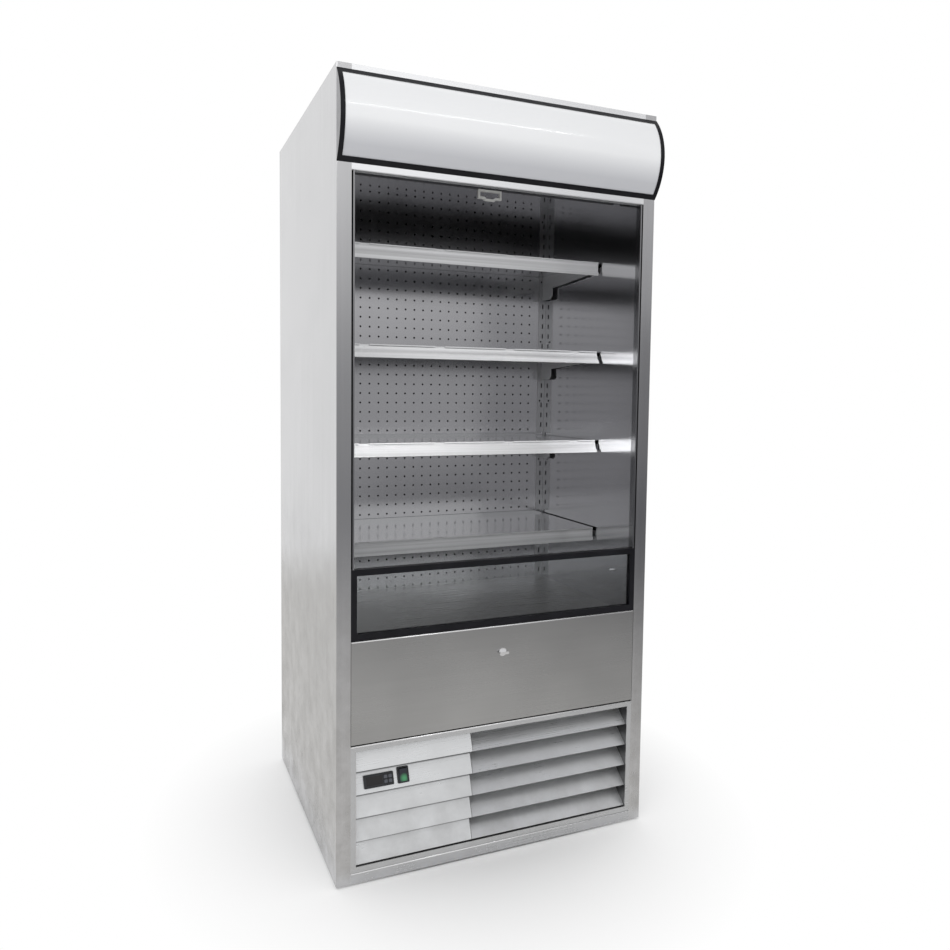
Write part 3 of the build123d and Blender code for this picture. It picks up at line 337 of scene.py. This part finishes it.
def opal(name, colour, shade):
    """White acrylic: even and glossy, greyer along its lower part as painted shade."""
    material, tree, shader, where = new_material(name)
    marks = place(tree, HANDLING_MARKS, {"Vector": where, "Size": 1.6})
    height = node(tree, "ShaderNodeSeparateXYZ", {"Vector": where}).outputs["Z"]
    # Painted shade greys the lower part; above it the colour is even.
    paler = spread(tree, height, 1.81, 1.87)
    tone = blend_colours(tree, paler, (*shade, 1), (*colour, 1))
    tree.links.new(tone, shader.inputs["Base Color"])
    tree.links.new(spread(tree, marks["Smears"], 0.0, 1.0, 0.12, 0.18), shader.inputs["Roughness"])
    shader.inputs["Coat Weight"].default_value = 0.3
    shader.inputs["Coat Roughness"].default_value = 0.05
    return material


def glass(name, tint):
    """Sheet glass with a slight grey tint, faintly smeared by wiping, which lets the light through."""
    material, tree, shader, where = new_material(name)
    marks = place(tree, HANDLING_MARKS, {"Vector": where, "Size": 4.0})
    wiped = math_node(tree, "MULTIPLY", marks["Smears"], 0.3)
    tone = blend_colours(tree, wiped, (*tint, 1), (0.93, 0.94, 0.94, 1))
    tree.links.new(tone, shader.inputs["Base Color"])
    tree.links.new(spread(tree, marks["Smears"], 0.0, 1.0, 0.0, 0.015), shader.inputs["Roughness"])
    shader.inputs["Transmission Weight"].default_value = 1.0
    shader.inputs["IOR"].default_value = 1.5
    clear = node(tree, "ShaderNodeBsdfTransparent", {"Color": (*tint, 1)})
    path = tree.nodes.new("ShaderNodeLightPath").outputs
    either = node(tree, "ShaderNodeMixShader",
                  {0: path["Is Shadow Ray"], 1: shader.outputs[0], 2: clear.outputs[0]})
    tree.links.new(either.outputs[0], tree.nodes["Material Output"].inputs["Surface"])
    return material


def woven(name, colour, shade):
    """Woven blind cloth: a fine plain weave with a slight slub."""
    material, tree, shader, where = new_material(name)
    warp = node(tree, "ShaderNodeTexWave", {"Vector": where, "Scale": 180.0, "Distortion": 0.3},
                bands_direction="X").outputs["Fac"]
    weft = node(tree, "ShaderNodeTexWave", {"Vector": where, "Scale": 180.0, "Distortion": 0.3},
                bands_direction="Z").outputs["Fac"]
    cloth = math_node(tree, "MULTIPLY", warp, weft)
    slub = noise(tree, stretched(tree, where, (2.0, 1.0, 60.0)), 4.0, 3.0)
    tone = blend_colours(tree, spread(tree, slub, 0.35, 0.65), (*colour, 1), (*shade, 1))
    tree.links.new(tone, shader.inputs["Base Color"])
    tree.links.new(spread(tree, cloth, 0.0, 1.0, 0.75, 0.9), shader.inputs["Roughness"])
    tree.links.new(bump(tree, cloth, 0.0002), shader.inputs["Normal"])
    shader.inputs["Sheen Weight"].default_value = 0.15
    return material


def lit_rocker(name):
    """Dark rocker with a green glow on its lower half."""
    material, tree, shader, where = new_material(name)
    skin = place(tree, MOULDED_GRAIN, {"Vector": where, "Pebbles": 500.0})
    away = node(tree, "ShaderNodeVectorMath", {0: where, 1: (-0.269, -0.345, 0.249)}, operation="DISTANCE")
    glow = spread(tree, away.outputs["Value"], 0.013, 0.003)
    tone = blend_colours(tree, skin["Tone"], (0.010, 0.014, 0.022, 1), (0.016, 0.018, 0.028, 1))
    light = blend_colours(tree, glow, (0.0, 0.0, 0.0, 1), (0.05, 0.30, 0.11, 1))
    tree.links.new(tone, shader.inputs["Base Color"])
    tree.links.new(light, shader.inputs["Emission Color"])
    tree.links.new(skin["Normal"], shader.inputs["Normal"])
    shader.inputs["Emission Strength"].default_value = 0.8
    shader.inputs["Roughness"].default_value = 0.25
    return material


# Colours are tuned to the photo's tones. The duct is near black as painted shade, so that the back panel's
# holes read dark.
finishes = {
    # Outer steel: darker towards the bottom as painted shade.
    "outer_steel": steel("outer steel", (0.60, 0.60, 0.61), 0.20, UPRIGHT_GRAIN, dust_and_shade=0.65, reach=1.0),
    "panel_steel": steel("panel steel", (0.47, 0.47, 0.47), 0.28, CROSSWISE_GRAIN, streaky=0.05, cloudy=0.35,
                         size=2.6),
    "liner_steel": steel("liner steel", (0.64, 0.64, 0.655), 0.12, DEEP_GRAIN, anisotropic=0.0,
                         streaky=0.05),
    "upright_steel": steel("upright steel", (0.52, 0.525, 0.535), 0.32, UPRIGHT_GRAIN),
    "back_steel": steel("back steel", (0.64, 0.64, 0.655), 0.19, CROSSWISE_GRAIN, streaky=0.05, cloudy=0.2),
    "shelf_steel": steel("shelf steel", (0.60, 0.605, 0.615), 0.13, CROSSWISE_GRAIN, streaky=0.05),
    # Deck steel is darker than the shelves as painted shade at the bottom of the well.
    "deck_steel": steel("deck steel in painted shade", (0.46, 0.465, 0.475), 0.28, CROSSWISE_GRAIN, streaky=0.05),
    "duct_steel": steel("duct steel in painted shade", (0.07, 0.07, 0.073), 0.50, CROSSWISE_GRAIN),
    "bracket_steel": steel("bracket steel", (0.72, 0.725, 0.735), 0.34, DEEP_GRAIN, metallic=0.6),
    "rail_metal": steel("rail metal", (0.86, 0.865, 0.875), 0.20, CROSSWISE_GRAIN, streaky=0.70, cloudy=0.05,
                        metallic=0.65),
    # Edge metal is darker than the other steel as painted shade on the edge profile.
    "edge_metal": steel("edge metal in painted shade", (0.34, 0.34, 0.35), 0.22, UPRIGHT_GRAIN),
    # Header steel is paler and less metallic than the other steel as a painted highlight on the header lip.
    "header_steel": steel("header steel with painted highlight", (0.92, 0.925, 0.94), 0.16, CROSSWISE_GRAIN, streaky=0.03,
                          cloudy=0.05, metallic=0.75),
    # Grille steel: painted shade on its inner cheeks, and darker towards the bottom.
    "grille_steel": steel("grille steel", (0.54, 0.545, 0.555), 0.22, CROSSWISE_GRAIN, dust_and_shade=0.3,
                          streaky=0.05, shaded="Cheeks", metallic=0.65),
    # Louvre steel: painted shade towards the bottom and in the strip under each lip.
    "louvre_steel": steel("louvre steel", (0.78, 0.79, 0.80), 0.28, CROSSWISE_GRAIN, dust_and_shade=0.45, reach=0.36,
                          streaky=0.05, cloudy=0.05, shaded="Under lips", metallic=0.70),
    # Fold metal is near white as a painted highlight along the rolled edges.
    "fold_metal": steel("fold metal with painted highlight", (0.93, 0.93, 0.94), 0.20, CROSSWISE_GRAIN, streaky=0.02, cloudy=0.05,
                        metallic=0.7),
    "galvanised": galvanised("galvanised sheet"),
    "insulation": moulded("foam", (0.72, 0.62, 0.38), (0.66, 0.56, 0.33), 0.8, 300.0, 0.0004),
    # The canopy's second colour is painted shade for its lower part.
    "canopy_white": opal("opal acrylic", (0.86, 0.865, 0.875), (0.57, 0.575, 0.60)),
    "black_trim": moulded("black trim", (0.006, 0.006, 0.008), (0.010, 0.010, 0.013), 0.35, specular=0.2),
    "cap_grey": moulded("cap plastic", (0.30, 0.30, 0.31), (0.26, 0.26, 0.27), 0.4),
    "lamp_glass": opal("lamp tube", (0.80, 0.80, 0.82), (0.80, 0.80, 0.82)),
    "blind_grey": moulded("blind profile", (0.035, 0.035, 0.04), (0.05, 0.05, 0.055), 0.35),
    "blind_cloth": woven("blind cloth", (0.42, 0.43, 0.44), (0.37, 0.38, 0.39)),
    "handle_plastic": moulded("handle plastic", (0.66, 0.66, 0.64), (0.60, 0.60, 0.58), 0.38),
    "clear_glass": glass("sheet glass", (0.87, 0.885, 0.885)),
    "lock_metal": steel("lock plating", (0.85, 0.85, 0.86), 0.08, CROSSWISE_GRAIN, anisotropic=0.0),
    "control_black": moulded("control plastic", (0.022, 0.023, 0.026), (0.03, 0.031, 0.034), 0.4,
                             specular=0.3),
    "display_window": moulded("display window", (0.014, 0.013, 0.014), (0.022, 0.020, 0.020), 0.2,
                              specular=0.3),
    "key_grey": moulded("key plastic", (0.08, 0.085, 0.10), (0.10, 0.105, 0.12), 0.45),
    "switch_green": lit_rocker("switch rocker"),
    "zinc_steel": steel("zinc plate", (0.50, 0.51, 0.51), 0.38, CROSSWISE_GRAIN, dust_and_shade=0.6),
    "fin_aluminium": steel("fin stock", (0.50, 0.51, 0.52), 0.4, UPRIGHT_GRAIN),
    "fan_plastic": moulded("fan plastic", (0.02, 0.02, 0.022), (0.03, 0.03, 0.032), 0.5),
    "motor_metal": steel("motor case", (0.35, 0.36, 0.37), 0.45, DEEP_GRAIN),
    "compressor_black": moulded("compressor enamel", (0.01, 0.01, 0.011), (0.016, 0.016, 0.017), 0.2, 200.0,
                                0.0001, coat=0.5, dust_and_shade=0.5),
    "copper": steel("copper tube", (0.60, 0.30, 0.18), 0.3, DEEP_GRAIN, anisotropic=0.0),
    "tray_plastic": moulded("tray plastic", (0.60, 0.60, 0.57), (0.52, 0.52, 0.49), 0.45, dust_and_shade=0.4),
}

FINISH_OF_NODE = {"access_panel": "panel_steel", "perforated_back_panel": "back_steel",
                  "grille_louvres": "louvre_steel", "shelf_brackets": "bracket_steel",
                  "deck_pan": "deck_steel", "rear_liner": "duct_steel"}
slot_of_node = {part["node"]: part["material_slot"] for part in frame["record"]["subparts"]}


def paint(obj, finish):
    """Puts a finish on every material slot of an object."""
    if not obj.material_slots:
        obj.data.materials.append(None)
    for material_slot in obj.material_slots:
        material_slot.material = finishes[finish]


for name, obj in cad.items():
    paint(obj, FINISH_OF_NODE.get(name, slot_of_node[name]))

# ---------------------------------------------------------------- night blind

BLIND_HALF_WIDTH = 0.385
CLOTH_Y = -0.237
ROLLER_CENTRE = (-0.2164, 1.829)
CORE_RADIUS = 0.0158
INNER_TURN = 0.0163
OUTER_TURN = 0.0199
TURNS = 10
BAR_TOP = 1.7965
HANGING_ROWS = 24
HANGING_COLUMNS = 60
RIPPLE = 0.0002
STEPS_PER_TURN = 40
STUB_RADIUS = 0.0038
STUB_REACH = 0.3925
ROUND_SEGMENTS = 40


def new_piece(name, build, finish):
    """A mesh object made from a bmesh, with its finish and its place in the scene."""
    mesh = bpy.data.meshes.new(name)
    build.to_mesh(mesh)
    build.free()
    for face in mesh.polygons:
        face.use_smooth = len(face.vertices) <= 4
    piece = bpy.data.objects.new(name, mesh)
    bpy.context.scene.collection.objects.link(piece)
    paint(piece, finish)
    return piece


def ribbon(lines):
    """A strip of cloth: each line is its points across, in order along the cloth."""
    build = bmesh.new()
    rows = [[build.verts.new(point) for point in line] for line in lines]
    for first, second in zip(rows, rows[1:]):
        for left, right, far_right, far_left in zip(first, first[1:], second[1:], second):
            build.faces.new((left, right, far_right, far_left))
    return build


def make_hanging_cloth():
    """The short length of cloth between the roller and the bar, faintly rippled."""
    lines = []
    for row in range(HANGING_ROWS + 1):
        height = ROLLER_CENTRE[1] + (BAR_TOP - ROLLER_CENTRE[1]) * row / HANGING_ROWS
        hang = math.sin(math.pi * row / HANGING_ROWS)
        lines.append([(-BLIND_HALF_WIDTH + 2 * BLIND_HALF_WIDTH * column / HANGING_COLUMNS,
                       CLOTH_Y + RIPPLE * hang * math.sin(column * 0.7), height)
                      for column in range(HANGING_COLUMNS + 1)])
    cloth = new_piece("blind_cloth_hanging", ribbon(lines), "blind_cloth")
    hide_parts("blind_fabric")
    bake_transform(cloth)


def make_wound_cloth():
    """The cloth wound on the spring roller, turn over turn, from the core out to where it hangs."""
    lines = []
    steps = TURNS * STEPS_PER_TURN
    for step in range(steps + 1):
        radius = INNER_TURN + (OUTER_TURN - INNER_TURN) * step / steps
        angle = math.pi + 2 * math.pi * (steps - step) / STEPS_PER_TURN
        lines.append([(side * BLIND_HALF_WIDTH, ROLLER_CENTRE[0] + radius * math.cos(angle),
                       ROLLER_CENTRE[1] + radius * math.sin(angle)) for side in (-1, -0.5, 0, 0.5, 1)])
    cloth = new_piece("blind_cloth_wound", ribbon(lines), "blind_cloth")
    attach(cloth, "roller")


def make_roller_core():
    """The steel tube inside the wound cloth, with a stub pin at each end."""
    build = bmesh.new()
    for radius, reach in ((CORE_RADIUS, BLIND_HALF_WIDTH), (STUB_RADIUS, STUB_REACH)):
        turned = Matrix.Translation((0, *ROLLER_CENTRE)) @ Matrix.Rotation(math.pi / 2, 4, "Y")
        bmesh.ops.create_cone(build, cap_ends=True, segments=ROUND_SEGMENTS, radius1=radius, radius2=radius,
                              depth=2 * reach, matrix=turned)
    core = new_piece("blind_roller_core", build, "zinc_steel")
    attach(core, "roller")
    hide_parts("blind_roller")


make_hanging_cloth()
make_wound_cloth()
make_roller_core()

# ---------------------------------------------------------------- rolled edges

EDGE_RADIUS = 0.0018
EDGE_SEGMENTS = 32


def make_rolled_edge(name, body, half_length, centre_y, centre_z):
    """The rolled edge along the top fold of a sheet, paler than its sheet as a painted highlight."""
    build = bmesh.new()
    turned = Matrix.Translation((0, centre_y, centre_z)) @ Matrix.Rotation(math.pi / 2, 4, "Y")
    bmesh.ops.create_cone(build, cap_ends=True, segments=EDGE_SEGMENTS, radius1=EDGE_RADIUS,
                          radius2=EDGE_RADIUS, depth=2 * half_length, matrix=turned)
    edge = new_piece(name, build, "fold_metal")
    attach(edge, body)


make_rolled_edge("access_panel_rolled_edge", "front_panel", 0.4123, -0.3538, 0.6194)
make_rolled_edge("grille_frame_rolled_edge", "cabinet", 0.4130, -0.3542, 0.3557)
make_rolled_edge("plinth_rolled_edge", "cabinet", 0.4130, -0.3538, 0.0305)

# ---------------------------------------------------------------- floor, world and lamps


def make_floor():
    """A wide pale floor that fades into the white background far from the cabinet.

    Polished faces mirror it as the floor of a lit shop: palest close in front, dimmer farther out
    and to the right.
    """
    build = bmesh.new()
    bmesh.ops.create_grid(build, x_segments=24, y_segments=24, size=9.0)
    mesh = bpy.data.meshes.new("studio_floor")
    build.to_mesh(mesh)
    build.free()
    floor = bpy.data.objects.new("studio_floor", mesh)
    bpy.context.scene.collection.objects.link(floor)
    material, tree, shader, where = new_material("studio floor")
    tone = blend_colours(tree, noise(tree, where, 1.2, 3.0), (0.90, 0.90, 0.90, 1), (0.93, 0.93, 0.93, 1))
    tree.links.new(tone, shader.inputs["Base Color"])
    shader.inputs["Roughness"].default_value = 0.9
    shader.inputs["Specular IOR Level"].default_value = 0.1
    white = node(tree, "ShaderNodeEmission", {"Color": (1, 1, 1, 1), "Strength": 1.0})
    away = node(tree, "ShaderNodeVectorMath", {0: where}, operation="LENGTH").outputs["Value"]
    path = tree.nodes.new("ShaderNodeLightPath").outputs
    seen = math_node(tree, "ADD", path["Is Camera Ray"], path["Is Glossy Ray"])
    seen = math_node(tree, "ADD", seen, path["Is Transmission Ray"])
    far = math_node(tree, "MULTIPLY", spread(tree, away, 0.40, 0.9), seen)
    either = node(tree, "ShaderNodeMixShader", {0: far, 1: shader.outputs[0], 2: white.outputs[0]})
    axes = node(tree, "ShaderNodeSeparateXYZ", {"Vector": where}).outputs
    farther = spread(tree, axes["Y"], -0.7, -4.0)
    shop = blend_colours(tree, farther, (0.76, 0.75, 0.73, 1), (0.38, 0.38, 0.39, 1))
    to_the_right = spread(tree, axes["X"], 0.5, 2.4, 0.0, 0.75)
    shop = blend_colours(tree, to_the_right, shop, (0.10, 0.10, 0.11, 1))
    mirrored = node(tree, "ShaderNodeEmission", {"Color": shop, "Strength": 1.0})
    left_of_it = spread(tree, axes["X"], -0.47, -0.52)
    beside = math_node(tree, "MULTIPLY", left_of_it, spread(tree, axes["Y"], 4.0, 2.6))
    around = math_node(tree, "MAXIMUM", spread(tree, axes["Y"], -0.38, -0.42), beside)
    around = math_node(tree, "MULTIPLY", around, path["Is Glossy Ray"])
    whole = node(tree, "ShaderNodeMixShader", {0: around, 1: either.outputs[0], 2: mirrored.outputs[0]})
    tree.links.new(whole.outputs[0], tree.nodes["Material Output"].inputs["Surface"])
    floor.data.materials.append(material)


def make_world():
    """Soft studio surroundings, white behind the cabinet.

    Polished faces that look the other way mirror a shop: dim at eye level, bright from ten degrees
    up, dimmer again overhead and far to the right. The shop is made up, here and in the floor, and
    tuned so that the steel comes near the photo's tones.
    """
    world = bpy.data.worlds.new("studio")
    bpy.context.scene.world = world
    world.use_nodes = True
    tree = world.node_tree
    direction = tree.nodes.new("ShaderNodeTexCoord").outputs["Generated"]
    axes = node(tree, "ShaderNodeSeparateXYZ", {"Vector": direction}).outputs
    white = (1, 1, 1, 1)
    sky = blend_colours(tree, spread(tree, axes["Z"], -0.1, 0.7), (0.56, 0.57, 0.58, 1), white)
    shop = blend_colours(tree, spread(tree, axes["Z"], 0.03, 0.28), (0.38, 0.38, 0.39, 1), white)
    overhead = spread(tree, axes["Z"], 0.58, 0.90)
    shop = blend_colours(tree, overhead, shop, (0.34, 0.34, 0.36, 1))
    to_the_right = spread(tree, axes["X"], 0.35, 0.60, 0.0, 0.70)
    shop = blend_colours(tree, to_the_right, shop, (0.16, 0.16, 0.17, 1))
    shop = blend_colours(tree, spread(tree, axes["Y"], -0.15, 0.05), shop, white)
    path = tree.nodes.new("ShaderNodeLightPath").outputs
    colour = blend_colours(tree, path["Is Glossy Ray"], sky, shop)
    seen = math_node(tree, "ADD", path["Is Camera Ray"], path["Is Transmission Ray"])
    colour = blend_colours(tree, seen, colour, white)
    tree.links.new(colour, tree.nodes["Background"].inputs["Color"])
    tree.nodes["Background"].inputs["Strength"].default_value = 1.0


def make_lamp(name, location, aim, size, power):
    """A soft rectangular lamp turned towards a point."""
    data = bpy.data.lights.new(name, "AREA")
    data.shape = "RECTANGLE"
    data.size, data.size_y = size
    data.energy = power
    lamp = bpy.data.objects.new(name, data)
    lamp.location = location
    lamp.rotation_euler = (Vector(aim) - Vector(location)).to_track_quat("-Z", "Y").to_euler()
    bpy.context.scene.collection.objects.link(lamp)


make_floor()
make_world()
make_lamp("key_softbox", (-2.6, -2.6, 3.4), (0, 0, 1.0), (1.6, 1.2), 24)
make_lamp("fill_softbox", (2.6, -2.4, 2.6), (0, 0, 1.0), (1.2, 1.8), 2)
make_lamp("ceiling_strip", (1.1, -3.4, 3.95), (0, 0, 1.6), (2.2, 0.06), 4)
